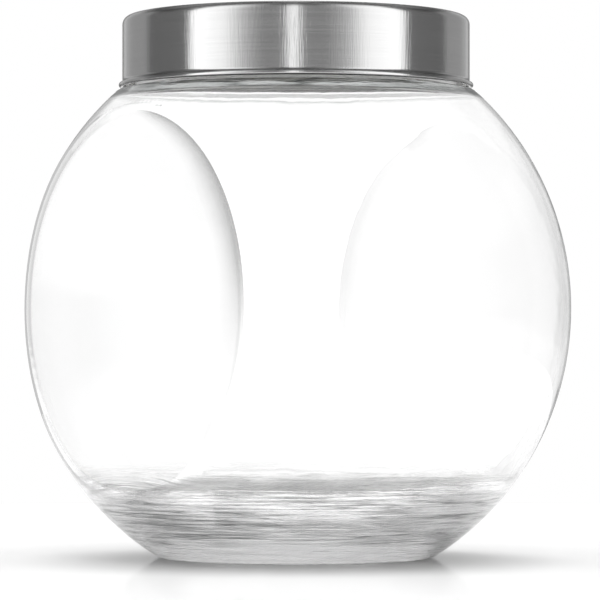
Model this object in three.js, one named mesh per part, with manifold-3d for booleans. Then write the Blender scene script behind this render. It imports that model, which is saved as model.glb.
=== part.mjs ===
// A lidded glass canister: a ball-shaped jar of clear glass with two parallel round flats, closed by
// a drawn steel lid. Inside the lid are a moulded screw liner and a flat seal.
// Millimetres, +Z up. The origin is the centre of the base, and the flats face +Y and -Y.
import * as THREE from "three";
import { mergeVertices } from "three/addons/utils/BufferGeometryUtils.js";
import Module from "manifold-3d";

// ---------------------------------------------------------------------------------------------
// Driving dimensions

// Jar body: an upright ellipse turned round the axis, then cut by the flats
const bodyHalfWidth = 91.5;
const bodyHalfHeight = 95.5;
const baseRadius = 45.4; // where the ellipse would meet the table
const flatDistance = 68.5; // axis to the outer face of a flat
const wall = 2.4;

// Base: a thick floor on a bearing ring, with a shallow push-up in the middle
const floorThickness = 14;
const floorFlatRadius = 30;
const floorCornerHeight = 16; // how far up the wall the floor's corner blends
const cornerPull = 0.7; // share of that height over which the corner still follows the wall
const cornerFoot = 0.5; // share of the corner's width that runs level into the floor
const heelBlend = 1.6;
const bearingWidth = 7;
const pushUp = 2.2;
const pushUpCrown = 0.6; // share of the push-up's radius that stays nearly level

// Neck: a straight bore under a rounded rim, standing on a narrow ledge
const mouthRadius = 49.4;
const neckWall = 4.2;
const neckHeight = 20.8; // ledge to rim
const neckFillet = 1.8;
const rimRadius = 1.3;
const shoulderBlend = 0.8;
const throatRise = 4; // how far above the ledge the bore starts to flare
const throatDrop = 4.5; // how far below the ledge the flare meets the ball's inside
const flarePull = 5.5; // how far the flare first follows the bore
const flareReach = 4.8; // length of its foot, and the foot's slope in degrees
const flareSlope = 17;

// Thread: four short ridges on the neck, each held by one lug of the liner
const threadStarts = 4;
const threadLead = 24; // rise of the lid in one whole turn
const threadSweep = 100; // degrees round the neck, each ridge
const threadDepth = 1.5;
const threadRootHeight = 2.6;
const threadCrestHeight = 1.2;
const threadBelowRim = 8.6; // rim to the middle of a ridge
const threadTaper = 0.14; // share of a ridge's length that fades out at each end
const lugSweep = 22;
const lugRootHeight = 2.2;
const lugTipHeight = 1;
const lugAngle = -22; // degrees from the middle of a ridge to the lug, lid closed
const ridgeFoot = 0.8; // how far a ridge or a lug is sunk into its wall

// Lid: a drawn cup of sheet steel with a rolled bead, lined with a moulded cup
const sheet = 0.5;
const lidCornerRadius = 2.8;
const beadRadius = 0.85;
const linerWall = 1.4;
const linerDisc = 1.3;
const linerRecess = 1.2; // bottom of the bead to the bottom of the liner
const centringRingWall = 1.4;
const centringRingDepth = 1.2; // reach below the rim
const sealThickness = 1.6;

// Clearances
const threadRunningGap = 0.6; // radial, ridge to liner and lug to neck
const threadPlay = 0.3; // vertical, ridge to lug
const linerGap = 0.3; // liner to steel, seal to liner
const centringGap = 2; // centring ring to the bore
const ledgeGap = 0.6; // bead to the ledge
const ledgeMargin = 0.2; // how far the ledge stands out past the bead

// Facets
const facetsJar = 80;
const facetsLid = 64;
const curveStep = 12; // length of a facet along a large curve
const smallStep = 0.9; // and along a small one
const ridgeStep = 8; // degrees of a facet along a thread ridge
const cutReach = 1; // how far a cutting solid stands out past what it cuts

// ---------------------------------------------------------------------------------------------
// Sizes that follow

const neckRadius = mouthRadius + neckWall;
const threadRadius = neckRadius + threadDepth;
const linerInnerRadius = threadRadius + threadRunningGap;
const linerRadius = linerInnerRadius + linerWall;
const lidInnerRadius = linerRadius + linerGap;
const lidRadius = lidInnerRadius + sheet;
const beadCentreRadius = lidInnerRadius + beadRadius;
const beadOuterRadius = beadCentreRadius + beadRadius;
const lugTipRadius = neckRadius + threadRunningGap;
const centringRingRadius = mouthRadius - centringGap;

const shoulderRadius = beadOuterRadius + ledgeMargin;
const bodyCentre = bodyHalfHeight * Math.sqrt(1 - (baseRadius / bodyHalfWidth) ** 2);
const ledge = bodyCentre + bodyHalfHeight * Math.sqrt(1 - (shoulderRadius / bodyHalfWidth) ** 2);
const rim = ledge + neckHeight;
const sealTop = rim + sealThickness;
const discBottom = sealTop + linerGap;
const linerTop = discBottom + linerDisc;
const lidTop = linerTop + sheet;
const beadBottom = ledge + ledgeGap;
const linerBottom = beadBottom + linerRecess;

const cavityHalfWidth = bodyHalfWidth - wall;
const cavityHalfHeight = bodyHalfHeight - wall;

// ---------------------------------------------------------------------------------------------
// Outlines and solids

const wasm = await Module();
wasm.setup();

// Points along a path. A straight line gives its ends, and a curve a point every `step` millimetres.
function sample(path, step) {
  const points = [path.curves[0].getPoint(0)];
  for (const curve of path.curves) {
    const count = curve.isLineCurve ? 1 : Math.max(3, Math.round(curve.getLength() / step));
    for (let i = 1; i <= count; i++) {
      const point = curve.getPoint(i / count);
      if (point.distanceTo(points.at(-1)) > 1e-6) points.push(point);
    }
  }
  for (const end of [points[0], points.at(-1)]) {
    if (Math.abs(end.x) < 1e-6) end.x = 0;
  }
  return points;
}

// The angle at which an upright ellipse round the body's centre reaches height z.
function ellipseAngle(z, halfHeight) {
  return Math.asin((z - bodyCentre) / halfHeight);
}

// The point of an upright ellipse at an angle, and its direction of travel there, going up.
function ellipsePoint(angle, halfWidth, halfHeight) {
  const point = new THREE.Vector2(halfWidth * Math.cos(angle), bodyCentre + halfHeight * Math.sin(angle));
  const way = new THREE.Vector2(-halfWidth * Math.sin(angle), halfHeight * Math.cos(angle)).normalize();
  return { point, way };
}

// A profile (x out from the axis, y up) turned round the Z axis.
function turned(points, facets) {
  const geometry = new THREE.LatheGeometry(points, facets);
  return geometry.rotateX(Math.PI / 2);
}

function solidFrom(geometry) {
  const bare = geometry.clone();
  bare.deleteAttribute("normal");
  bare.deleteAttribute("uv");
  const merged = mergeVertices(bare, 1e-4);
  const mesh = new wasm.Mesh({
    numProp: 3,
    vertProperties: new Float32Array(merged.getAttribute("position").array),
    triVerts: new Uint32Array(merged.index.array),
  });
  return new wasm.Manifold(mesh);
}

function geometryFrom(solid) {
  const mesh = solid.getMesh();
  const geometry = new THREE.BufferGeometry();
  geometry.setAttribute("position", new THREE.BufferAttribute(mesh.vertProperties, 3));
  geometry.setIndex(new THREE.BufferAttribute(mesh.triVerts, 1));
  geometry.computeVertexNormals();
  return geometry;
}

// A ridge that climbs round the Z axis. The section has x out from the axis and y up. It is
// extruded in a straight line and wrapped round the axis on the thread's lead. What stands out
// from rootRadius fades away over the share `taper` of the length at each end.
function helicalRidge(section, sweep, rootRadius, taper) {
  const steps = Math.ceil(sweep / ridgeStep);
  const geometry = new THREE.ExtrudeGeometry(section, { depth: 1, steps, bevelEnabled: false });
  const position = geometry.getAttribute("position");
  for (let i = 0; i < position.count; i++) {
    const along = 0.5 - position.getZ(i);
    const fade = taper > 0 ? Math.min(1, (0.5 - Math.abs(along)) / taper) : 1;
    const proud = position.getX(i) - rootRadius;
    const radius = rootRadius + (proud > 0 ? proud * fade : proud);
    const angle = THREE.MathUtils.degToRad(along * sweep);
    const height = position.getY(i) + (threadLead * along * sweep) / 360;
    position.setXYZ(i, radius * Math.cos(angle), radius * Math.sin(angle), height);
  }
  return geometry;
}

// A trapezium standing from root to tip, with its foot sunk into what carries it.
function ridgeSection(root, tip, rootHeight, tipHeight) {
  const foot = root - Math.sign(tip - root) * ridgeFoot;
  const section = new THREE.Shape();
  section.moveTo(foot, -rootHeight / 2);
  section.lineTo(root, -rootHeight / 2);
  section.lineTo(tip, -tipHeight / 2);
  section.lineTo(tip, tipHeight / 2);
  section.lineTo(root, rootHeight / 2);
  section.lineTo(foot, rootHeight / 2);
  section.closePath();
  return section;
}

// ---------------------------------------------------------------------------------------------
// Jar body

// Outer outline, from the middle of the base to the top of the rim and in to the axis.
function jarOutside() {
  const path = new THREE.Path();
  const contact = baseRadius - heelBlend;
  const bearingInner = contact - bearingWidth;
  path.moveTo(0, pushUp);
  path.quadraticCurveTo(bearingInner * pushUpCrown, pushUp, bearingInner, 0);
  path.lineTo(contact, 0);
  const heelAngle = ellipseAngle(heelBlend / 2, bodyHalfHeight);
  const heel = ellipsePoint(heelAngle, bodyHalfWidth, bodyHalfHeight).point;
  path.quadraticCurveTo(baseRadius, 0, heel.x, heel.y);
  const shoulderAngle = ellipseAngle(ledge - shoulderBlend, bodyHalfHeight);
  path.absellipse(0, bodyCentre, bodyHalfWidth, bodyHalfHeight, heelAngle, 0, false);
  path.absellipse(0, bodyCentre, bodyHalfWidth, bodyHalfHeight, 0, shoulderAngle, false);
  path.quadraticCurveTo(shoulderRadius, ledge, shoulderRadius - shoulderBlend, ledge);
  path.lineTo(neckRadius + neckFillet, ledge);
  path.absarc(neckRadius + neckFillet, ledge + neckFillet, neckFillet, -Math.PI / 2, -Math.PI, true);
  path.lineTo(neckRadius, rim - rimRadius);
  path.absarc(neckRadius - rimRadius, rim - rimRadius, rimRadius, 0, Math.PI / 2, false);
  path.lineTo(0, rim);
  return sample(path, curveStep);
}

// Inner outline, from just above the rim to the middle of the floor.
function jarInside() {
  const path = new THREE.Path();
  path.moveTo(0, rim + cutReach);
  path.lineTo(mouthRadius + rimRadius, rim + cutReach);
  path.lineTo(mouthRadius + rimRadius, rim);
  path.absarc(mouthRadius + rimRadius, rim - rimRadius, rimRadius, Math.PI / 2, Math.PI, false);
  path.lineTo(mouthRadius, ledge + throatRise);
  const throatAngle = ellipseAngle(ledge - throatDrop, cavityHalfHeight);
  const throat = ellipsePoint(throatAngle, cavityHalfWidth, cavityHalfHeight);
  const slope = THREE.MathUtils.degToRad(flareSlope);
  const footX = throat.point.x - flareReach * Math.cos(slope);
  const footY = throat.point.y + flareReach * Math.sin(slope);
  const flareStart = ledge + throatRise - flarePull;
  path.bezierCurveTo(mouthRadius, flareStart, footX, footY, throat.point.x, throat.point.y);
  const cornerAngle = ellipseAngle(floorThickness + floorCornerHeight, cavityHalfHeight);
  path.absellipse(0, bodyCentre, cavityHalfWidth, cavityHalfHeight, throatAngle, cornerAngle, true);
  const corner = ellipsePoint(cornerAngle, cavityHalfWidth, cavityHalfHeight);
  const fall = corner.point.clone().addScaledVector(corner.way, -floorCornerHeight * cornerPull);
  const foot = floorFlatRadius + (corner.point.x - floorFlatRadius) * cornerFoot;
  path.bezierCurveTo(fall.x, fall.y, foot, floorThickness, floorFlatRadius, floorThickness);
  path.lineTo(0, floorThickness);
  return sample(path, curveStep);
}

// What lies between two planes across the Y axis, each at this distance from it.
function between(distance) {
  const reach = 4 * bodyHalfHeight;
  return solidFrom(new THREE.BoxGeometry(reach, 2 * distance, reach));
}

function jarBody() {
  const block = solidFrom(turned(jarOutside(), facetsJar)).intersect(between(flatDistance));
  const cavity = solidFrom(turned(jarInside().reverse(), facetsJar)).intersect(between(flatDistance - wall));
  let solid = block.subtract(cavity);
  const section = ridgeSection(neckRadius, threadRadius, threadRootHeight, threadCrestHeight);
  for (let i = 0; i < threadStarts; i++) {
    const ridge = helicalRidge(section, threadSweep, neckRadius, threadTaper);
    ridge.translate(0, 0, rim - threadBelowRim);
    ridge.rotateZ((i * 2 * Math.PI) / threadStarts);
    solid = solid.add(solidFrom(ridge));
  }
  return geometryFrom(solid);
}

// ---------------------------------------------------------------------------------------------
// Lid

// A cup of drawn sheet: a flat top, a small corner, a straight skirt and a bead rolled outwards.
function lidShell() {
  const path = new THREE.Path();
  const corner = lidTop - lidCornerRadius;
  const beadCentre = beadBottom + beadRadius;
  const beadStart = Math.acos((lidRadius - beadCentreRadius) / beadRadius);
  path.moveTo(0, lidTop);
  path.lineTo(lidRadius - lidCornerRadius, lidTop);
  path.absarc(lidRadius - lidCornerRadius, corner, lidCornerRadius, Math.PI / 2, 0, true);
  path.lineTo(lidRadius, beadCentre + beadRadius * Math.sin(beadStart));
  path.absarc(beadCentreRadius, beadCentre, beadRadius, beadStart, 0, true);
  path.absarc(beadCentreRadius, beadCentre, beadRadius, 0, -Math.PI, true);
  path.lineTo(lidInnerRadius, corner);
  path.absarc(lidRadius - lidCornerRadius, corner, lidCornerRadius - sheet, 0, Math.PI / 2, false);
  path.lineTo(0, lidTop - sheet);
  return turned(sample(path, smallStep).reverse(), facetsLid);
}

// A moulded cup with a ring that centres it in the mouth and one lug under each ridge of the neck.
function threadInsert() {
  const path = new THREE.Path();
  const cornerRadius = lidCornerRadius - sheet;
  const ringBottom = rim - centringRingDepth;
  path.moveTo(0, linerTop);
  path.lineTo(linerRadius - cornerRadius, linerTop);
  path.absarc(linerRadius - cornerRadius, linerTop - cornerRadius, cornerRadius, Math.PI / 2, 0, true);
  path.lineTo(linerRadius, linerBottom);
  path.lineTo(linerInnerRadius, linerBottom);
  path.lineTo(linerInnerRadius, discBottom);
  path.lineTo(centringRingRadius, discBottom);
  path.lineTo(centringRingRadius, ringBottom);
  path.lineTo(centringRingRadius - centringRingWall, ringBottom);
  path.lineTo(centringRingRadius - centringRingWall, discBottom);
  path.lineTo(0, discBottom);
  let solid = solidFrom(turned(sample(path, smallStep).reverse(), facetsLid));

  const section = ridgeSection(linerInnerRadius, lugTipRadius, lugRootHeight, lugTipHeight);
  const halfRidge = (threadRootHeight + threadCrestHeight) / 4;
  const halfLug = (lugRootHeight + lugTipHeight) / 4;
  const climb = (threadLead * lugAngle) / 360;
  const height = rim - threadBelowRim + climb - halfRidge - halfLug - threadPlay;
  for (let i = 0; i < threadStarts; i++) {
    const lug = helicalRidge(section, lugSweep, linerInnerRadius, 0);
    lug.translate(0, 0, height);
    lug.rotateZ(THREE.MathUtils.degToRad(lugAngle + (i * 360) / threadStarts));
    solid = solid.add(solidFrom(lug));
  }
  return geometryFrom(solid);
}

// A flat ring between the centring ring and the liner's wall, lying on the rim.
function sealRing() {
  const path = new THREE.Path();
  const inner = centringRingRadius + linerGap;
  const outer = linerInnerRadius - linerGap;
  path.moveTo(inner, rim);
  path.lineTo(outer, rim);
  path.lineTo(outer, sealTop);
  path.lineTo(inner, sealTop);
  path.lineTo(inner, rim);
  return turned(sample(path, smallStep), facetsLid);
}

// ---------------------------------------------------------------------------------------------
// Assembly

const glass = new THREE.MeshStandardMaterial({
  color: 0xf4f8f7,
  roughness: 0.03,
  metalness: 0,
  transparent: true,
  opacity: 0.35,
});
const brushedSteel = new THREE.MeshStandardMaterial({ color: 0xc6c6c6, roughness: 0.32, metalness: 1 });
const whitePlastic = new THREE.MeshStandardMaterial({ color: 0xeeeeec, roughness: 0.45, metalness: 0 });
const silicone = new THREE.MeshStandardMaterial({ color: 0xe4e3dd, roughness: 0.6, metalness: 0 });

const canister = new THREE.Group();

function addPiece(name, geometry, material, parent) {
  const mesh = new THREE.Mesh(geometry, material);
  mesh.name = name;
  parent.add(mesh);
}

const lid = new THREE.Group();
addPiece("lid_shell", lidShell(), brushedSteel, lid);
addPiece("thread_insert", threadInsert(), whitePlastic, lid);
addPiece("seal_ring", sealRing(), silicone, lid);

addPiece("jar_body", jarBody(), glass, canister);
canister.add(lid);

export default canister;
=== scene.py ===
import math

import bmesh
import bpy
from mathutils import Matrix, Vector, noise
from mathutils.geometry import interpolate_bezier


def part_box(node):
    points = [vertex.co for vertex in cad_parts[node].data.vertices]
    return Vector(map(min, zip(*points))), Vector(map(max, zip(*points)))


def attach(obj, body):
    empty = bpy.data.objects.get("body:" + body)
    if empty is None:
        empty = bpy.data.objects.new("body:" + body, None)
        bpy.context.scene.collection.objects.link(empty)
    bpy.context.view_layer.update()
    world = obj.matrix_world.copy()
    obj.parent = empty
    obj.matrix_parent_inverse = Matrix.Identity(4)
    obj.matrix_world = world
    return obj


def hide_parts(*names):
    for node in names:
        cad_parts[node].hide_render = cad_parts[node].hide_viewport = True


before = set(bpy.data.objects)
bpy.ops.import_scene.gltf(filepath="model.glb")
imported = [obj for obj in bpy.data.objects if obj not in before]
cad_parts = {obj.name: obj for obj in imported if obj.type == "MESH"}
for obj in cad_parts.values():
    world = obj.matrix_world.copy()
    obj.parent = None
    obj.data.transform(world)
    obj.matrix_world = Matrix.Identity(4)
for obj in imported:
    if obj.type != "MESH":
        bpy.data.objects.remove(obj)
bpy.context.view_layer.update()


# ---------------------------------------------------------------------------------------------
# Glass jar. One piece of clear soda-lime glass, blown in a two-part mould: a ball with two flats,
# a thick settled base and a neck with four short thread ridges. It stands on the ring under its
# base, and everything else hangs on its neck.

MM = 0.001
jar_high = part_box("jar_body")[1]
lid_low, lid_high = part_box("lid_shell")
jar_half_width = jar_high.x
jar_half_height = 95.5 * MM
jar_flat = jar_high.y
jar_rim = jar_high.z
jar_wall = 2.4 * MM
base_radius = 45.4 * MM
heel_blend = 1.6 * MM
bearing_width = 7 * MM
push_up = 2.2 * MM
floor_height = 14 * MM
floor_flat_radius = 30 * MM
floor_corner = 16 * MM
mouth_radius = 49.4 * MM
neck_radius = 53.6 * MM
neck_fillet = 1.8 * MM
rim_rounding = 1.3 * MM
shoulder_radius = lid_high.x + 0.2 * MM
shoulder_blend = 0.8 * MM
jar_centre = jar_half_height * math.sqrt(1 - (base_radius / jar_half_width) ** 2)
ledge = jar_centre + jar_half_height * math.sqrt(1 - (shoulder_radius / jar_half_width) ** 2)
jar_steps = 208
settled_top = 44 * MM
settled_step = 2.2 * MM
shoulder_step = 3.6 * MM
ball_step = 4 * MM


def arc(centre, radius, start, stop, count):
    """Points of an arc (radius, height), from one angle in degrees to another."""
    angles = [math.radians(start + (stop - start) * i / count) for i in range(count + 1)]
    return [(centre[0] + radius * math.cos(a), centre[1] + radius * math.sin(a)) for a in angles]


def line(start, stop, count):
    """Points of a straight line, without its first point."""
    shares = [i / count for i in range(1, count + 1)]
    return [tuple(a + (b - a) * t for a, b in zip(start, stop)) for t in shares]


def curve(points, count):
    """Points of a cubic curve through its two ends, without its first point."""
    knots = [Vector((x, z, 0)) for x, z in points]
    return [(p.x, p.y) for p in interpolate_bezier(*knots, count + 1)[1:]]


def upright(half_width, half_height, start, stop, step):
    """Points of the jar's upright ellipse between two heights, on its outer side."""
    turn = [math.asin((z - jar_centre) / half_height) for z in (start, stop)]
    count = math.ceil(abs(turn[1] - turn[0]) * half_height / step)
    angles = [turn[0] + (turn[1] - turn[0]) * i / count for i in range(count + 1)]
    return [(half_width * math.cos(a), jar_centre + half_height * math.sin(a)) for a in angles]


def spun(outline, steps, closed=False):
    """A bmesh of an outline (radius, height) turned once round the Z axis. Its vertex layer
    "station" holds each vertex's place in the outline."""
    bm = bmesh.new()
    station = bm.verts.layers.float.new("station")
    verts = [bm.verts.new((radius, 0, height)) for radius, height in outline]
    for i, vert in enumerate(verts):
        vert[station] = i
    edges = [bm.edges.new(pair) for pair in zip(verts, verts[1:] + verts[:1] * closed)]
    bmesh.ops.spin(bm, geom=verts + edges, axis=(0, 0, 1), cent=(0, 0, 0), dvec=(0, 0, 0),
                   angle=math.tau, steps=steps, use_merge=True, use_duplicate=False)
    bmesh.ops.remove_doubles(bm, verts=bm.verts, dist=1e-7)
    bmesh.ops.recalc_face_normals(bm, faces=bm.faces)
    return bm


def piece(name, bm, material):
    """A smooth-shaded object made of a bmesh, with its place in its mesh."""
    mesh = bpy.data.meshes.new(name)
    bm.to_mesh(mesh)
    bm.free()
    mesh.shade_smooth()
    mesh.materials.append(material)
    obj = bpy.data.objects.new(name, mesh)
    bpy.context.scene.collection.objects.link(obj)
    return obj


def colour(hex_value):
    """An sRGB hex value as a linear colour."""
    channels = [int(hex_value[i:i + 2], 16) / 255 for i in (1, 3, 5)]
    return tuple(c / 12.92 if c <= 0.04045 else ((c + 0.055) / 1.055) ** 2.4 for c in channels) + (1,)


def new_material(name):
    """A material with its node tree and its Principled shader."""
    material = bpy.data.materials.new(name)
    material.use_nodes = True
    return material, material.node_tree, material.node_tree.nodes["Principled BSDF"]


def add_node(tree, kind, inputs=(), **settings):
    """A node with its settings and inputs. An input is (its name or number, what goes in), which is
    a plain value, an output, or a node, which stands for its first output in use. A setting may
    also be an input's name, with underscores for spaces."""
    node = tree.nodes.new(kind)
    for key, value in settings.items():
        if hasattr(node, key):
            setattr(node, key, value)
        else:
            node.inputs[key.replace("_", " ")].default_value = value
    for target, source in inputs:
        if isinstance(source, bpy.types.Node):
            source = next(output for output in source.outputs if output.enabled)
        if isinstance(source, bpy.types.NodeSocket):
            tree.links.new(source, node.inputs[target])
        else:
            node.inputs[target].default_value = source
    return node


def cut_by_flat(radius, sine, distance, edge):
    """The radius of the jar where a flat cuts the ball, with a rounded edge between the two."""
    a = 1 + sine * sine
    b = radius - edge + (distance - edge) * sine
    c = (radius - edge) ** 2 + (distance - edge) ** 2 - edge ** 2
    if b * b > a * c:
        rounded = (b + math.sqrt(b * b - a * c)) / a
        if rounded > radius - edge and rounded * sine > distance - edge:
            return rounded
    return min(radius, distance / max(sine, 1e-6))


# The outside, from the middle of the push-up over the heel, ball, ledge and neck to the rim. The last
# number of each arc, line and curve is how many steps it is drawn in.
contact = base_radius - heel_blend
bearing_inner = contact - bearing_width
heel = upright(jar_half_width, jar_half_height, heel_blend / 2, settled_top, settled_step)
heel += upright(jar_half_width, jar_half_height, settled_top, jar_centre, ball_step)[1:]
shoulder = upright(jar_half_width, jar_half_height, jar_centre, ledge - shoulder_blend, shoulder_step)
outside = [(0, push_up)]
outside += curve([(0, push_up), (bearing_inner * 0.4, push_up),
                  (bearing_inner * 0.75, 0.6 * push_up), (bearing_inner, 0)], 14)
outside += line(outside[-1], (contact, 0), 4)
outside += curve([(contact, 0), (contact + heel_blend * 0.6, 0),
                  (base_radius, 0.1 * heel_blend), heel[0]], 5)
outside += heel[1:] + shoulder[1:]
outside += curve([shoulder[-1], (shoulder_radius - 0.1 * MM, ledge - 0.2 * MM),
                  (shoulder_radius - 0.4 * MM, ledge), (shoulder_radius - shoulder_blend, ledge)], 5)
outside += line(outside[-1], (neck_radius + neck_fillet, ledge), 3)
outside += arc((neck_radius + neck_fillet, ledge + neck_fillet), neck_fillet, 270, 180, 6)[1:]
outside += line(outside[-1], (neck_radius, jar_rim - rim_rounding), 28)
outside += arc((neck_radius - rim_rounding, jar_rim - rim_rounding), rim_rounding, 0, 90, 7)[1:]

# The inside, from the rim down the bore, through its flare to the ball and on to the floor.
cavity_half_width = jar_half_width - jar_wall
cavity_half_height = jar_half_height - jar_wall
floor_corner_top = floor_height + floor_corner
throat_start = ledge + 4 * MM
throat_end = ledge - 18 * MM
throat_pull = ledge - 1.5 * MM
knee = (shoulder_radius + 1.6 * MM, ledge - 3.9 * MM)
knee_above = (knee[0] - 4.6 * MM, knee[1] + 1.4 * MM)
knee_below = (knee[0] + 4.15 * MM, knee[1] - 4.34 * MM)
ball_lead = 6 * MM
corner_lead = 11.2 * MM
cavity = upright(cavity_half_width, cavity_half_height, throat_end, settled_top, ball_step)
cavity += upright(cavity_half_width, cavity_half_height, settled_top, floor_corner_top,
                  settled_step)[1:]


def beyond(points, length):
    """A point further along the way that a row of points is going."""
    (x0, z0), (x1, z1) = points[-2:]
    step = math.hypot(x1 - x0, z1 - z0)
    return (x1 + (x1 - x0) * length / step, z1 + (z1 - z0) * length / step)


inside = line((neck_radius - rim_rounding, jar_rim), (mouth_radius + rim_rounding, jar_rim), 2)
inside += arc((mouth_radius + rim_rounding, jar_rim - rim_rounding), rim_rounding, 90, 180, 7)[1:]
inside += line(inside[-1], (mouth_radius, throat_start), 10)
inside += curve([inside[-1], (mouth_radius, throat_pull), knee_above, knee], 14)
inside += curve([knee, knee_below, beyond(cavity[1::-1], ball_lead), cavity[0]], 12)
inside += cavity[1:]
corner_foot = ((cavity[-1][0] + floor_flat_radius) / 2, floor_height)
inside += curve([cavity[-1], beyond(cavity, corner_lead), corner_foot,
                 (floor_flat_radius, floor_height)], 46)
inside += line(inside[-1], (0, floor_height), 26)

jar = spun(outside + inside, jar_steps)
station = jar.verts.layers.float["station"]
rim_station = len(outside)


def inside_wall(vert):
    """Whether a vertex of the jar is on the inner side of its wall."""
    return vert[station] >= rim_station


def smooth_step(low, high, value):
    """0 below low, 1 above high and an even S between them."""
    share = min(1, max(0, (value - low) / (high - low)))
    return share * share * (3 - 2 * share)


# The flats: the band of the ball where their edges will be is drawn finer, and then every ring of the
# jar is drawn in to the flats, on both sides of the wall.
outer_edge = 2 * MM
inner_edge = 1.5 * MM
band_low, band_high = -1.05, 0.95


def flat_of(vert):
    """The distance and the edge rounding of the flats on a vertex's side of the wall."""
    if inside_wall(vert):
        return jar_flat - jar_wall, inner_edge
    return jar_flat, outer_edge


def near_flat_edge(face):
    """Whether a face of the ball reaches into the band where a flat's edge will be rounded."""
    proud = []
    for vert in face.verts:
        distance, edge = flat_of(vert)
        proud.append((abs(vert.co.y) - distance) / edge)
    return max(proud) > band_low and min(proud) < band_high


for _ in range(2):
    band = {edge for face in jar.faces if near_flat_edge(face) for edge in face.edges}
    bmesh.ops.subdivide_edges(jar, edges=list(band), cuts=1, use_grid_fill=True)
for vert in jar.verts:
    radius = vert.co.xy.length
    if radius > 1e-6:
        distance, edge = flat_of(vert)
        vert.co.xy *= cut_by_flat(radius, abs(vert.co.y) / radius, distance, edge) / radius

# The thread: four ridges on the neck, each a quarter turn and a little more, with faded ends.
thread_starts = 4
thread_lead = 24 * MM
thread_sweep = 100
thread_depth = 1.5 * MM
thread_root = 2.6 * MM
thread_crest = 1.2 * MM
thread_foot = 0.2 * MM
thread_fade = 0.36 * thread_sweep
thread_middle = jar_rim - 8.6 * MM


def ridge_height(turn, height):
    """How far the nearest thread ridge stands out at an angle in degrees and a height."""
    apart = 360 / thread_starts
    best = 0
    for start in range(thread_starts):
        away = (turn - start * apart + 180) % 360 - 180
        middle = thread_middle + thread_lead * away / 360
        across = 1 - smooth_step(thread_crest / 2, thread_root / 2 + thread_foot, abs(height - middle))
        along = 1 - smooth_step(thread_fade, thread_sweep / 2, abs(away))
        best = max(best, across * along)
    return thread_depth * best


for vert in jar.verts:
    on_neck = ledge + neck_fillet < vert.co.z < jar_rim - rim_rounding
    if on_neck and not inside_wall(vert):
        turn = math.degrees(math.atan2(vert.co.y, vert.co.x))
        vert.co.xy *= 1 + ridge_height(turn, vert.co.z) / neck_radius

# Blown glass is never true. Both skins sway a little, and in the base they settle in waves that run
# round it. The outside only sinks, so the jar stays inside its size.
layer_height = 5 * MM
layer_change = 1.7
sway_length = 34 * MM
settle_full, settle_end = 14 * MM, 34 * MM
sway_end, sway_full = ledge - 14 * MM, ledge - 34 * MM
settle_inside, settle_outside = 0.10 * MM, 0.06 * MM
sway_inside, sway_outside = 0.10 * MM, 0.03 * MM
jar.normal_update()
for vert in jar.verts:
    x, y, z = vert.co
    radius = math.hypot(x, y)
    turn = math.atan2(y, x)
    layers_at = Vector((layer_change * math.cos(turn), layer_change * math.sin(turn),
                        (radius + 2 * z) / layer_height))
    settle = (1 - smooth_step(settle_full, settle_end, z)) * noise.noise(layers_at)
    sway_at = Vector((x, y, 0.6 * z)) / sway_length
    sway = (1 - smooth_step(sway_full, sway_end, z)) * noise.noise(sway_at)
    if inside_wall(vert):
        lift = settle_inside * settle + sway_inside * sway
    else:
        off_table = smooth_step(0.5 * MM, 5 * MM, z)
        lift = min(0, settle_outside * settle * off_table + sway_outside * sway)
    vert.co += vert.normal * lift

# Soda-lime glass, fire-polished: colourless and clear, so it shows only where it bends light. The
# streaks and soft greys below stand for what thick moulded glass does to the light behind it.
clear_glass, tree, shader = new_material("glass_fire_polished")
shader.inputs["Roughness"].default_value = 0.0
shader.inputs["IOR"].default_value = 1.52
shader.inputs["Transmission Weight"].default_value = 1.0
place = add_node(tree, "ShaderNodeTexCoord").outputs["Object"]
at_x, at_y, at_z = add_node(tree, "ShaderNodeSeparateXYZ", [(0, place)]).outputs

# The drag of the mould: swells about 18 mm long, fainter towards the neck.
drag = add_node(tree, "ShaderNodeTexNoise", [("Vector", place)], Scale=55.0, Detail=2.0)
below_neck = add_node(tree, "ShaderNodeMapRange", [("Value", at_z)], From_Min=ledge - 3 * MM,
                      From_Max=ledge - 14 * MM, To_Min=0.12, To_Max=1.0)
dragged = add_node(tree, "ShaderNodeMath", [(0, drag), (1, below_neck)], operation="MULTIPLY")
relief = add_node(tree, "ShaderNodeBump", [("Height", dragged)], Strength=0.25, Distance=0.4 * MM)

# Chilled layers that run round the axis, as the waves of the base do: 1.1 mm thick where they lie
# level and 2.2 mm where they stand.
level = add_node(tree, "ShaderNodeVectorMath", [(0, place), (1, (1, 1, 0))], operation="MULTIPLY")
outward = add_node(tree, "ShaderNodeVectorMath", [(0, level)], operation="NORMALIZE")
away = add_node(tree, "ShaderNodeVectorMath", [(0, level)], operation="LENGTH")
course = add_node(tree, "ShaderNodeMath", [(0, at_z), (1, 2), (2, away)], operation="MULTIPLY_ADD")
layer = add_node(tree, "ShaderNodeMath", [(0, course), (1, 2.2 * MM)], operation="DIVIDE")
around = add_node(tree, "ShaderNodeVectorMath", [(0, outward)], operation="SCALE", Scale=2.2)
around_x, around_y, _ = add_node(tree, "ShaderNodeSeparateXYZ", [(0, around)]).outputs
layers = add_node(tree, "ShaderNodeCombineXYZ", [(0, around_x), (1, around_y), (2, layer)])

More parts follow.
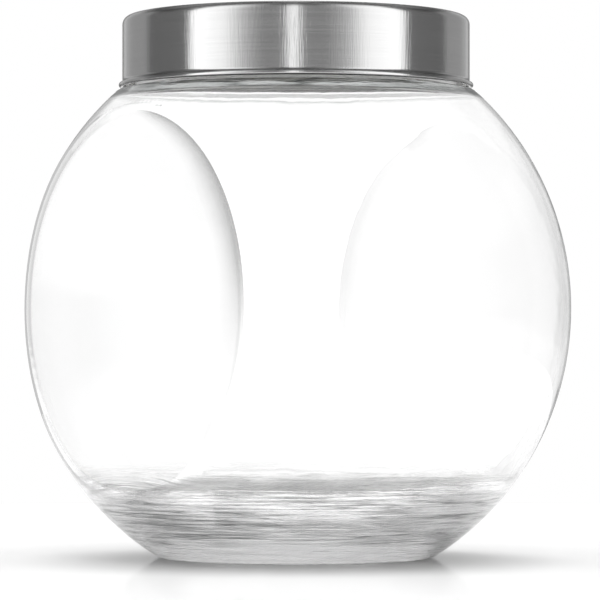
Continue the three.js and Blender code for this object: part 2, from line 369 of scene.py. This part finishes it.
# They show in the base, fading out from 18 to 31 mm up, and on the outer skin just under the ledge.
low_down = add_node(tree, "ShaderNodeMapRange", [("Value", at_z)], From_Min=18 * MM, From_Max=31 * MM,
                    To_Min=1.0, To_Max=0.0, interpolation_type="SMOOTHSTEP")
below_lid = add_node(tree, "ShaderNodeMapRange", [("Value", at_z)], From_Min=ledge - 3.9 * MM,
                     From_Max=ledge - 2.7 * MM, interpolation_type="SMOOTHSTEP")
below_ledge = add_node(tree, "ShaderNodeMath", [(0, at_z), (1, ledge - 0.15 * MM)],
                       operation="LESS_THAN")
outer_skin = add_node(tree, "ShaderNodeMath", [(0, away), (1, shoulder_radius - 1.5 * MM)],
                      operation="GREATER_THAN")
backfacing = add_node(tree, "ShaderNodeNewGeometry").outputs["Backfacing"]
facing_out = add_node(tree, "ShaderNodeMath", [(0, 1), (1, backfacing)], operation="SUBTRACT")
under_lid = below_lid
for share in (below_ledge, outer_skin, facing_out):
    under_lid = add_node(tree, "ShaderNodeMath", [(0, under_lid), (1, share)], operation="MULTIPLY")
streaked = add_node(tree, "ShaderNodeMath", [(0, low_down), (1, under_lid)], operation="ADD")
ripple = add_node(tree, "ShaderNodeTexNoise", [("Vector", layers)], Scale=1.0, Detail=3.0)
swell = add_node(tree, "ShaderNodeMath", [(0, ripple), (1, 0.5)], operation="SUBTRACT")
settled = add_node(tree, "ShaderNodeMath", [(0, swell), (1, streaked)], operation="MULTIPLY")
chill = add_node(tree, "ShaderNodeBump", [("Height", settled), ("Normal", relief)], Strength=1.0,
                 Distance=0.45 * MM)
tree.links.new(chill.outputs["Normal"], shader.inputs["Normal"])

# Painted shade: a soft grey inside the upper edge of each flat, where the wall turns and bends the
# light away. "gap" is how far a point of the flat lies from that edge, which is the flat's own ellipse.
flat_reach = jar_half_width * math.sqrt(1 - (jar_flat / jar_half_width) ** 2)
side = add_node(tree, "ShaderNodeMath", [(0, at_y)], operation="SIGN")
along = add_node(tree, "ShaderNodeMath", [(0, at_x), (1, side)], operation="MULTIPLY")
rise = add_node(tree, "ShaderNodeMapRange", [("Value", at_z)], clamp=False, From_Min=jar_centre,
                From_Max=jar_centre + jar_half_height, To_Max=jar_half_width)
rise_squared = add_node(tree, "ShaderNodeMath", [(0, rise), (1, 2)], operation="POWER")
reach_squared = add_node(tree, "ShaderNodeMath", [(0, flat_reach ** 2), (1, rise_squared)],
                         operation="SUBTRACT")
on_level = add_node(tree, "ShaderNodeMath", [(0, reach_squared), (1, 0)], operation="GREATER_THAN")
reach = add_node(tree, "ShaderNodeMath", [(0, reach_squared)], operation="SQRT")
gap = add_node(tree, "ShaderNodeMath", [(0, reach), (1, along)], operation="ADD")
from_middle = add_node(tree, "ShaderNodeMath", [(0, at_y)], operation="ABSOLUTE")
on_outside = add_node(tree, "ShaderNodeMath", [(0, from_middle), (1, jar_flat - jar_wall / 2)],
                      operation="GREATER_THAN")
on_flat = gap
for share in (on_level, on_outside):
    on_flat = add_node(tree, "ShaderNodeMath", [(0, on_flat), (1, share)], operation="MULTIPLY")
within = add_node(tree, "ShaderNodeMath", [(0, on_flat), (1, 0)], operation="GREATER_THAN")
near_edge = add_node(tree, "ShaderNodeMapRange", [("Value", on_flat)], From_Min=14 * MM,
                     From_Max=0.2 * MM)
deepening = add_node(tree, "ShaderNodeMath", [(0, near_edge), (1, 1.5)], operation="POWER")
upper = add_node(tree, "ShaderNodeMapRange", [("Value", at_z)], From_Min=jar_centre - 25 * MM,
                 From_Max=jar_centre + 20 * MM, interpolation_type="SMOOTHSTEP")
# The painted shade is full on the flat at -Y and 0.42 of that on the flat at +Y.
by_side = add_node(tree, "ShaderNodeMapRange", [("Value", side)], From_Min=-1.0, From_Max=1.0,
                   To_Min=1.0, To_Max=0.42)
turning = add_node(tree, "ShaderNodeMapRange", [("Value", along)], From_Min=0.0, From_Max=-14 * MM,
                   interpolation_type="SMOOTHSTEP")
flat_edge_shade = within
for share in (turning, deepening, upper, by_side):
    flat_edge_shade = add_node(tree, "ShaderNodeMath", [(0, flat_edge_shade), (1, share)], operation="MULTIPLY")
# The painted shade takes the glass's colour from near white down to a mid grey at the flat's edge.
flat_edge_shaded_tone = add_node(tree, "ShaderNodeMix", [("Factor", flat_edge_shade), ("A", colour("#fefefe")),
                                             ("B", colour("#767676"))], data_type="RGBA")

# Painted shade: dark seams between the layers, in patches, with fewer in the last few millimetres of
# the base, for the light the layers bend away. The outer skin under the ledge is greyer all over, a
# painted shade of the lid, seen from outside.
seam_wave = add_node(tree, "ShaderNodeTexNoise", [("Vector", layers)], Scale=0.8, Detail=2.0)
seam_away = add_node(tree, "ShaderNodeMath", [(0, seam_wave), (1, 0.5)], operation="SUBTRACT")
seam_gap = add_node(tree, "ShaderNodeMath", [(0, seam_away)], operation="ABSOLUTE")
seam = add_node(tree, "ShaderNodeMapRange", [("Value", seam_gap)], From_Min=0.0, From_Max=0.1,
                To_Min=1.0, To_Max=0.0)
seam_patch = add_node(tree, "ShaderNodeTexNoise", [("Vector", layers)], Scale=0.35, Detail=1.0)
seam_share = add_node(tree, "ShaderNodeMapRange", [("Value", seam_patch)], From_Min=0.4, From_Max=0.6,
                      To_Min=0.6, To_Max=1.0)
off_ring = add_node(tree, "ShaderNodeMapRange", [("Value", at_z)], From_Min=2 * MM, From_Max=8 * MM,
                    To_Min=0.2, To_Max=1.0)
seam_shade = seam
for share in (seam_share, streaked, off_ring):
    seam_shade = add_node(tree, "ShaderNodeMath", [(0, seam_shade), (1, share)], operation="MULTIPLY")
# Painted shade under the lid: the outer skin below the ledge turns grey.
lid_shaded_tone = add_node(tree, "ShaderNodeMix", [("Factor", under_lid), ("A", flat_edge_shaded_tone),
                                             ("B", colour("#919493"))], data_type="RGBA")
glass_tone = add_node(tree, "ShaderNodeMix", [("Factor", seam_shade), ("A", lid_shaded_tone),
                                              ("B", colour("#1a1e1d"))], data_type="RGBA")
tree.links.new(glass_tone.outputs["Result"], shader.inputs["Base Color"])

# Painted light: light goes round in a thick base more often than a renderer follows it. So the glass
# glows white for a ray that was already reflected four times, giving back a share of what would be
# lost, most of it at the bearing ring.
depth = add_node(tree, "ShaderNodeLightPath").outputs["Glossy Depth"]
late = add_node(tree, "ShaderNodeMath", [(0, depth), (1, 3.5)], operation="GREATER_THAN")
kept_in = add_node(tree, "ShaderNodeFresnel", IOR=1.52)
leak = add_node(tree, "ShaderNodeMath", [(0, late), (1, kept_in)], operation="MULTIPLY")
given_back = add_node(tree, "ShaderNodeMapRange", [("Value", at_z)], From_Min=1 * MM, From_Max=8 * MM,
                      To_Min=1.5, To_Max=0.3)
painted_glow = add_node(tree, "ShaderNodeMath", [(0, leak), (1, given_back)], operation="MULTIPLY")
tree.links.new(painted_glow.outputs[0], shader.inputs["Emission Strength"])
shader.inputs["Emission Color"].default_value = colour("#ffffff")

glass_jar = piece("glass_jar", jar, clear_glass)
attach(glass_jar, "jar")
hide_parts("jar_body")


# ---------------------------------------------------------------------------------------------
# Seal. A flat ring of translucent white silicone, moulded with two low beads that bite on the
# rim. It lies in the liner's channel.

seal_low, seal_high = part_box("seal_ring")
seal_inner = 47.7 * MM
seal_outer = seal_high.x
seal_edge = 0.25 * MM
seal_web = seal_low.z + 0.3 * MM
bite_radii = (mouth_radius + 1.2 * MM, mouth_radius + 2.9 * MM)
bite_half = 0.45 * MM

seal_outline = []
for bite in bite_radii:
    for across in (-1, -0.8, -0.5, -0.2, 0.2, 0.5, 0.8, 1):
        drop = (seal_web - seal_low.z) * math.sqrt(1 - across * across)
        seal_outline.append((bite + across * bite_half, seal_web - drop))
for corner, start in (((seal_outer - seal_edge, seal_web + seal_edge), -90),
                      ((seal_outer - seal_edge, seal_high.z - seal_edge), 0),
                      ((seal_inner + seal_edge, seal_high.z - seal_edge), 90),
                      ((seal_inner + seal_edge, seal_web + seal_edge), 180)):
    seal_outline += arc(corner, seal_edge, start, start + 90, 4)
seal = spun(seal_outline, 160, closed=True)

# Silicone rubber, moulded: a soft sheen, slightly see-through, with a dusty grain. The grain is drawn
# 0.7 mm wide, coarser than the real one, to show.
silicone, tree, shader = new_material("silicone_moulded")
place = add_node(tree, "ShaderNodeTexCoord").outputs["Object"]
dust = add_node(tree, "ShaderNodeTexNoise", [("Vector", place)], Scale=1400.0, Detail=3.0)
tone = add_node(tree, "ShaderNodeMix", [("Factor", dust), ("A", colour("#d9d8d2")),
                                        ("B", colour("#ecebe6"))], data_type="RGBA")
tree.links.new(tone.outputs["Result"], shader.inputs["Base Color"])
shader.inputs["Roughness"].default_value = 0.55
shader.inputs["IOR"].default_value = 1.41
shader.inputs["Subsurface Weight"].default_value = 0.25
shader.inputs["Subsurface Radius"].default_value = (0.002, 0.002, 0.0018)

seal_piece = piece("silicone_seal", seal, silicone)
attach(seal_piece, "seal")
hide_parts("seal_ring")


# ---------------------------------------------------------------------------------------------
# Screw liner. A moulded polypropylene cup glued into the steel lid. A ring under its disc centres
# it in the mouth, and one lug under each ridge of the neck holds the lid down.

liner_low, liner_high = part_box("thread_insert")
liner_radius = liner_high.x
liner_wall = 1.4 * MM
liner_inner = liner_radius - liner_wall
disc_bottom = seal_high.z + 0.3 * MM
liner_corner = 2.3 * MM
ring_radius = mouth_radius - 2 * MM
ring_wall = 1.4 * MM
ring_bottom = jar_rim - 1.2 * MM
liner_rounding = 0.2 * MM
rib_radii = (34 * MM, 20 * MM)
rib_half = 0.6 * MM
gate_radius = 3.2 * MM
gate_depth = 0.4 * MM

liner_outline = [(0, liner_high.z), (0.5 * liner_radius, liner_high.z)]
liner_outline += arc((liner_radius - liner_corner, liner_high.z - liner_corner), liner_corner, 90, 0, 8)
foot = liner_low.z + liner_rounding
liner_outline += line(liner_outline[-1], (liner_radius, foot), 6)
liner_outline += arc((liner_radius - liner_rounding, foot), liner_rounding, 0, -90, 3)
liner_outline += arc((liner_inner + liner_rounding, foot), liner_rounding, 270, 180, 3)
liner_outline += line(liner_outline[-1], (liner_inner, disc_bottom), 44)
liner_outline += line(liner_outline[-1], (ring_radius, disc_bottom), 4)
foot = ring_bottom + liner_rounding
liner_outline += line(liner_outline[-1], (ring_radius, foot), 3)
liner_outline += arc((ring_radius - liner_rounding, foot), liner_rounding, 0, -90, 3)
liner_outline += arc((ring_radius - ring_wall + liner_rounding, foot), liner_rounding, 270, 180, 3)
liner_outline += line(liner_outline[-1], (ring_radius - ring_wall, disc_bottom), 3)
for rib_radius in rib_radii:
    liner_outline += line(liner_outline[-1], (rib_radius + rib_half, disc_bottom), 5)
    liner_outline += arc((rib_radius, disc_bottom), rib_half, 0, -180, 8)[1:]
liner_outline += line(liner_outline[-1], (gate_radius, disc_bottom), 5)
liner_outline += line(liner_outline[-1], (gate_radius - gate_depth, disc_bottom + gate_depth), 2)
liner_outline += line(liner_outline[-1], (0, disc_bottom + gate_depth), 3)
liner = spun(liner_outline, 240)

# The lugs: each sits under the middle of a ridge when the lid is tight, with room to turn.
lug_sweep = 22
lug_fade = 0.42 * lug_sweep
lug_turn = -22
lug_root = 2.2 * MM
lug_tip = 1 * MM
lug_gap = 0.6 * MM
lug_play = 0.3 * MM
lug_depth = liner_inner - neck_radius - lug_gap
lug_middle = (thread_middle + thread_lead * lug_turn / 360 - (thread_root + thread_crest) / 4
              - (lug_root + lug_tip) / 4 - lug_play)
for vert in liner.verts:
    if abs(vert.co.xy.length - liner_inner) > 0.05 * MM or vert.co.z > disc_bottom - 1 * MM:
        continue
    turn = math.degrees(math.atan2(vert.co.y, vert.co.x))
    for start in range(thread_starts):
        away = (turn - lug_turn - start * 360 / thread_starts + 180) % 360 - 180
        middle = lug_middle + thread_lead * away / 360
        across = 1 - smooth_step(lug_tip / 2, lug_root / 2, abs(vert.co.z - middle))
        along = 1 - smooth_step(lug_fade, lug_sweep / 2, abs(away))
        vert.co.xy *= 1 - lug_depth * across * along / liner_inner

# Polypropylene, injection moulded in white: satin, with the fine grain of a sparked mould. The
# grain is drawn 0.4 mm wide, coarser than the real one, to show.
liner_plastic, tree, shader = new_material("polypropylene_moulded_white")
place = add_node(tree, "ShaderNodeTexCoord").outputs["Object"]
grain = add_node(tree, "ShaderNodeTexNoise", [("Vector", place)], Scale=2600.0, Detail=2.0)
flow = add_node(tree, "ShaderNodeTexNoise", [("Vector", place)], Scale=24.0, Detail=3.0)
tone = add_node(tree, "ShaderNodeMix", [("Factor", flow), ("A", colour("#f4f4f2")),
                                        ("B", colour("#fafaf9"))], data_type="RGBA")
tree.links.new(tone.outputs["Result"], shader.inputs["Base Color"])
shader.inputs["Roughness"].default_value = 0.42
shader.inputs["IOR"].default_value = 1.49
relief = add_node(tree, "ShaderNodeBump", [("Height", grain)], Strength=0.2, Distance=0.1 * MM)
tree.links.new(relief.outputs["Normal"], shader.inputs["Normal"])

liner_piece = piece("screw_liner", liner, liner_plastic)
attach(liner_piece, "lid")
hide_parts("thread_insert")


# ---------------------------------------------------------------------------------------------
# Steel lid. A cup drawn from 0.5 mm stainless sheet. Its edge is rolled outwards into a bead, and
# it is brushed on a turning mandrel, so every scratch runs round it.

sheet = 0.5 * MM
lid_corner = 2.8 * MM
bead = 0.85 * MM
lid_radius = lid_high.x - 2 * bead + sheet
bead_centre = (lid_high.x - bead, lid_low.z + bead)
bead_start = math.degrees(math.acos((lid_radius - bead_centre[0]) / bead))
bead_top = bead_centre[1] + bead * math.sin(math.radians(bead_start))

lid_outline = [(0, lid_high.z), (0.02 * lid_radius, lid_high.z)]
lid_outline += line(lid_outline[-1], (lid_radius - lid_corner, lid_high.z), 24)
lid_outline += arc((lid_radius - lid_corner, lid_high.z - lid_corner), lid_corner, 90, 0, 12)[1:]
lid_outline += line(lid_outline[-1], (lid_radius, bead_top), 16)
lid_outline += arc(bead_centre, bead, bead_start, -160, 26)[1:]
lid_outline += arc(bead_centre, bead, -160, -180, 3)[1:]
lid_outline += line(lid_outline[-1], (lid_radius - sheet, lid_high.z - lid_corner), 12)
lid_outline += arc((lid_radius - lid_corner, lid_high.z - lid_corner), lid_corner - sheet, 0, 90, 8)[1:]
lid_outline += line(lid_outline[-1], (0, lid_high.z - sheet), 12)
lid = spun(lid_outline, 192)

# Stainless steel, brushed: each scratch runs round the axis, so it spreads light up and down only. The
# scratches are drawn 0.35 mm apart, coarser than real ones, to show.
brushed_steel, tree, shader = new_material("stainless_steel_brushed")
place = add_node(tree, "ShaderNodeTexCoord").outputs["Object"]
at_z = add_node(tree, "ShaderNodeSeparateXYZ", [(0, place)]).outputs["Z"]
level = add_node(tree, "ShaderNodeVectorMath", [(0, place), (1, (1, 1, 0))], operation="MULTIPLY")
outward = add_node(tree, "ShaderNodeVectorMath", [(0, level)], operation="NORMALIZE")
away = add_node(tree, "ShaderNodeVectorMath", [(0, level)], operation="LENGTH")
across = add_node(tree, "ShaderNodeMath", [(0, away), (1, at_z)], operation="SUBTRACT")
course = add_node(tree, "ShaderNodeMath", [(0, across), (1, 1 / (0.35 * MM))], operation="MULTIPLY")
out_x, out_y, _ = add_node(tree, "ShaderNodeSeparateXYZ", [(0, outward)]).outputs
spread_x = add_node(tree, "ShaderNodeMath", [(0, out_x), (1, 0.9)], operation="MULTIPLY")
spread_y = add_node(tree, "ShaderNodeMath", [(0, out_y), (1, 0.9)], operation="MULTIPLY")
scratches = add_node(tree, "ShaderNodeCombineXYZ", [(0, spread_x), (1, spread_y), (2, course)])
scratch = add_node(tree, "ShaderNodeTexNoise", [("Vector", scratches)], Scale=1.0, Detail=4.0,
                   Roughness=0.7)
tone = add_node(tree, "ShaderNodeMix", [("Factor", scratch), ("A", colour("#c9c9c9")),
                                        ("B", colour("#dedede"))], data_type="RGBA")
bite = add_node(tree, "ShaderNodeMapRange", [("Value", scratch)], From_Min=0.3, From_Max=0.7,
                To_Min=0.17, To_Max=0.25)
tree.links.new(bite.outputs["Result"], shader.inputs["Roughness"])

# Painted shade: the underside of the bead is darker, where the rolled edge turns under.
bead_shade_fade = add_node(tree, "ShaderNodeMapRange", [("Value", at_z)], From_Min=lid_low.z + 0.2 * MM,
                  From_Max=lid_low.z + 0.7 * MM, interpolation_type="SMOOTHSTEP")
bead_shaded_steel = add_node(tree, "ShaderNodeMix", [("Factor", bead_shade_fade), ("A", colour("#4c4c4c")),
                                              ("B", tone)], data_type="RGBA")
tree.links.new(bead_shaded_steel.outputs["Result"], shader.inputs["Base Color"])

# The mandrel's chatter: upright ripples about half a millimetre apart that break up a highlight.
ripples = add_node(tree, "ShaderNodeVectorMath", [(0, outward)], operation="SCALE", Scale=105.0)
ripple_x, ripple_y, _ = add_node(tree, "ShaderNodeSeparateXYZ", [(0, ripples)]).outputs
ripple_rise = add_node(tree, "ShaderNodeMath", [(0, at_z), (1, 9 * MM)], operation="DIVIDE")
chatter_way = add_node(tree, "ShaderNodeCombineXYZ", [(0, ripple_x), (1, ripple_y), (2, ripple_rise)])
chatter = add_node(tree, "ShaderNodeTexNoise", [("Vector", chatter_way)], Scale=1.0, Detail=2.0)
wave = add_node(tree, "ShaderNodeBump", [("Height", chatter)], Strength=1.0, Distance=0.02 * MM)
relief = add_node(tree, "ShaderNodeBump", [("Height", scratch), ("Normal", wave)], Strength=0.4,
                  Distance=0.03 * MM)
tree.links.new(relief.outputs["Normal"], shader.inputs["Normal"])
grain_way = add_node(tree, "ShaderNodeTangent", direction_type="RADIAL", axis="Z")
tree.links.new(grain_way.outputs["Tangent"], shader.inputs["Tangent"])
shader.inputs["Metallic"].default_value = 1.0
shader.inputs["Anisotropic"].default_value = 0.9
shader.inputs["Anisotropic Rotation"].default_value = 0.25

steel_lid = piece("steel_lid", lid, brushed_steel)
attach(steel_lid, "lid")
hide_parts("lid_shell")


# ---------------------------------------------------------------------------------------------
# Studio: a white sweep, light from all round with two tall soft boxes and a strip beside the
# camera, and dark flags at the sides that draw the edges of the steel and the glass.

view_turn = math.radians(52)
view_distance = 1200 * MM
view_height = 66.1 * MM
aim_height = 85.7 * MM
aim_right = 1.33 * MM
toward = Vector((math.sin(view_turn), -math.cos(view_turn), 0))
rightward = Vector((math.cos(view_turn), math.sin(view_turn), 0))

camera = bpy.data.objects.new("camera", bpy.data.cameras.new("camera"))
bpy.context.scene.collection.objects.link(camera)
camera.data.lens = 216
camera.data.sensor_width = 36
camera.data.clip_start = 0.01
camera.location = toward * view_distance + Vector((0, 0, view_height))
aim = rightward * aim_right + Vector((0, 0, aim_height))
camera.rotation_euler = (aim - camera.location).to_track_quat("-Z", "Y").to_euler()
bpy.context.scene.camera = camera
bpy.context.scene.view_settings.view_transform = "Standard"

world = bpy.data.worlds.new("studio")
bpy.context.scene.world = world
world.use_nodes = True
tree = world.node_tree
tree.nodes.clear()
way = add_node(tree, "ShaderNodeTexCoord").outputs["Generated"]
up = add_node(tree, "ShaderNodeSeparateXYZ", [(0, way)]).outputs["Z"]
level = add_node(tree, "ShaderNodeVectorMath", [(0, way), (1, (1, 1, 0))], operation="MULTIPLY")
level_way = add_node(tree, "ShaderNodeVectorMath", [(0, level)], operation="NORMALIZE")
facing = add_node(tree, "ShaderNodeVectorMath", [(0, level_way), (1, toward)],
                  operation="DOT_PRODUCT")
aside = add_node(tree, "ShaderNodeVectorMath", [(0, level_way), (1, rightward)],
                 operation="DOT_PRODUCT")
turned = add_node(tree, "ShaderNodeMath", [(0, aside), (1, facing)], operation="ARCTAN2")
turn = add_node(tree, "ShaderNodeMapRange", [("Value", turned)], From_Min=-math.pi, From_Max=math.pi)


def lights(turn, stops):
    """How bright the studio is all round. Each stop is a direction, in degrees to the right of the
    camera, and its light."""
    node = add_node(tree, "ShaderNodeValToRGB", [("Fac", turn)])
    ramp = node.color_ramp.elements
    while len(ramp) < len(stops):
        ramp.new(0.5)
    for element, (degrees, light) in zip(ramp, stops):
        element.position = degrees / 360 + 0.5
        element.color = (light, light, light, 1)
    return node


# What steel and glass reflect: the strip at 0, the soft boxes at 48 to 75 on both sides, and dark
# flags beyond them.
boxes = lights(turn, (
    (-180, 0.7), (-175, 0.7), (-173, 0.12), (-163, 0.14), (-159, 0.35), (-152, 0.25), (-138, 0.19),
    (-117, 0.19), (-113, 0.08), (-75.5, 0.09), (-72.5, 0.92), (-48, 0.7), (-34, 0.32), (-22, 0.15),
    (-7.4, 0.15), (-3.6, 0.8), (0.2, 0.8), (4.0, 0.15), (20, 0.15), (34, 0.3), (48, 0.72), (75, 0.9),
    (78, 0.09), (115, 0.08), (117, 0.19), (138, 0.19), (152, 0.25), (159, 0.35), (163, 0.14),
    (173, 0.12), (175, 0.7), (180, 0.7)))
ceiling = add_node(tree, "ShaderNodeMapRange", [("Value", up)], From_Min=0.78, From_Max=0.93,
                   To_Min=1.9, To_Max=0.5)
aloft = add_node(tree, "ShaderNodeMapRange", [("Value", up)], From_Min=0.42, From_Max=0.55)
under_top = add_node(tree, "ShaderNodeMapRange", [("Value", up)], From_Min=0.62, From_Max=0.8,
                     To_Min=1.0, To_Max=0.25)
behind = add_node(tree, "ShaderNodeMapRange", [("Value", facing)], From_Min=-0.05, From_Max=-0.25)
banded = add_node(tree, "ShaderNodeMath", [(0, aloft), (1, under_top)], operation="MULTIPLY")
flag = add_node(tree, "ShaderNodeMath", [(0, banded), (1, behind)], operation="MULTIPLY")
unflagged = add_node(tree, "ShaderNodeMapRange", [("Value", flag)], To_Min=1.0, To_Max=0.25)
strength = add_node(tree, "ShaderNodeMath", [(0, ceiling), (1, unflagged)], operation="MULTIPLY")
sheen = add_node(tree, "ShaderNodeBackground", [("Color", boxes), ("Strength", strength)])

# What shows through the glass: a white sweep, greyer at the sides, so that the jar's edges draw
# themselves.
backdrop = lights(turn, (
    (-180, 1.0), (-172, 1.0), (-164, 0.74), (-140, 0.66), (-120, 0.6), (-100, 0.4), (-76, 0.85),
    (-40, 0.9), (0, 0.9), (40, 0.9), (76, 0.85), (100, 0.4), (120, 0.6), (150, 0.75), (165, 0.85),
    (172, 1.0), (180, 1.0)))
overhead = add_node(tree, "ShaderNodeMapRange", [("Value", up)], From_Min=0.24, From_Max=0.36)
sweep = add_node(tree, "ShaderNodeMapRange", [("Value", up)], From_Min=-0.03, From_Max=-0.09)
open_side = add_node(tree, "ShaderNodeMath", [(0, overhead), (1, sweep)], operation="MAXIMUM")
through = add_node(tree, "ShaderNodeMix", [("Factor", open_side), ("A", backdrop), ("B", (1, 1, 1, 1))],
                   data_type="RGBA")
seen_through = add_node(tree, "ShaderNodeBackground", [("Color", through)], Strength=1.15)

fill = add_node(tree, "ShaderNodeBackground", [("Color", (1, 1, 1, 1))], Strength=1.3)
mixed = add_node(tree, "ShaderNodeBackground", [("Color", (1, 1, 1, 1))], Strength=1.0)
ray = add_node(tree, "ShaderNodeLightPath").outputs
for ray_kind, light in (("Is Diffuse Ray", fill), ("Is Glossy Ray", sheen),
                        ("Is Transmission Ray", seen_through)):
    mixed = add_node(tree, "ShaderNodeMixShader", [(0, ray[ray_kind]), (1, mixed), (2, light)])
add_node(tree, "ShaderNodeOutputWorld", [("Surface", mixed)])

# The floor: satin white acrylic. Its colour is toned down a little under the jar and just in front of
# it, as a painted shadow where the jar keeps the light off, and it mirrors the jar faintly.
floor = bmesh.new()
bmesh.ops.create_circle(floor, cap_ends=True, segments=128, radius=0.45)
white_floor, tree, shader = new_material("acrylic_white_satin")
shader.inputs["Roughness"].default_value = 0.9
shader.inputs["Specular IOR Level"].default_value = 0.0
place = add_node(tree, "ShaderNodeTexCoord").outputs["Object"]
drawn = add_node(tree, "ShaderNodeVectorMath", [(0, place), (1, toward * 22 * MM)],
                 operation="SUBTRACT")
away = add_node(tree, "ShaderNodeVectorMath", [(0, drawn)], operation="LENGTH")
shade = add_node(tree, "ShaderNodeMapRange", [("Value", away)], From_Min=40 * MM, From_Max=100 * MM,
                 interpolation_type="SMOOTHSTEP")
# Painted shadow: the floor's colour darkens towards the jar.
tone = add_node(tree, "ShaderNodeMix", [("Factor", shade), ("A", colour("#bdbdbd")),
                                        ("B", colour("#f8f8f8"))], data_type="RGBA")
tree.links.new(tone.outputs["Result"], shader.inputs["Base Color"])
polish = add_node(tree, "ShaderNodeBsdfGlossy", Roughness=0.07)
glance = add_node(tree, "ShaderNodeFresnel", IOR=1.45)
gleam = add_node(tree, "ShaderNodeMath", [(0, glance), (1, 0.32)], operation="MULTIPLY")
coat = add_node(tree, "ShaderNodeMixShader", [(0, gleam), (1, shader), (2, polish)])
tree.links.new(coat.outputs[0], tree.nodes["Material Output"].inputs["Surface"])
floor_piece = piece("floor", floor, white_floor)
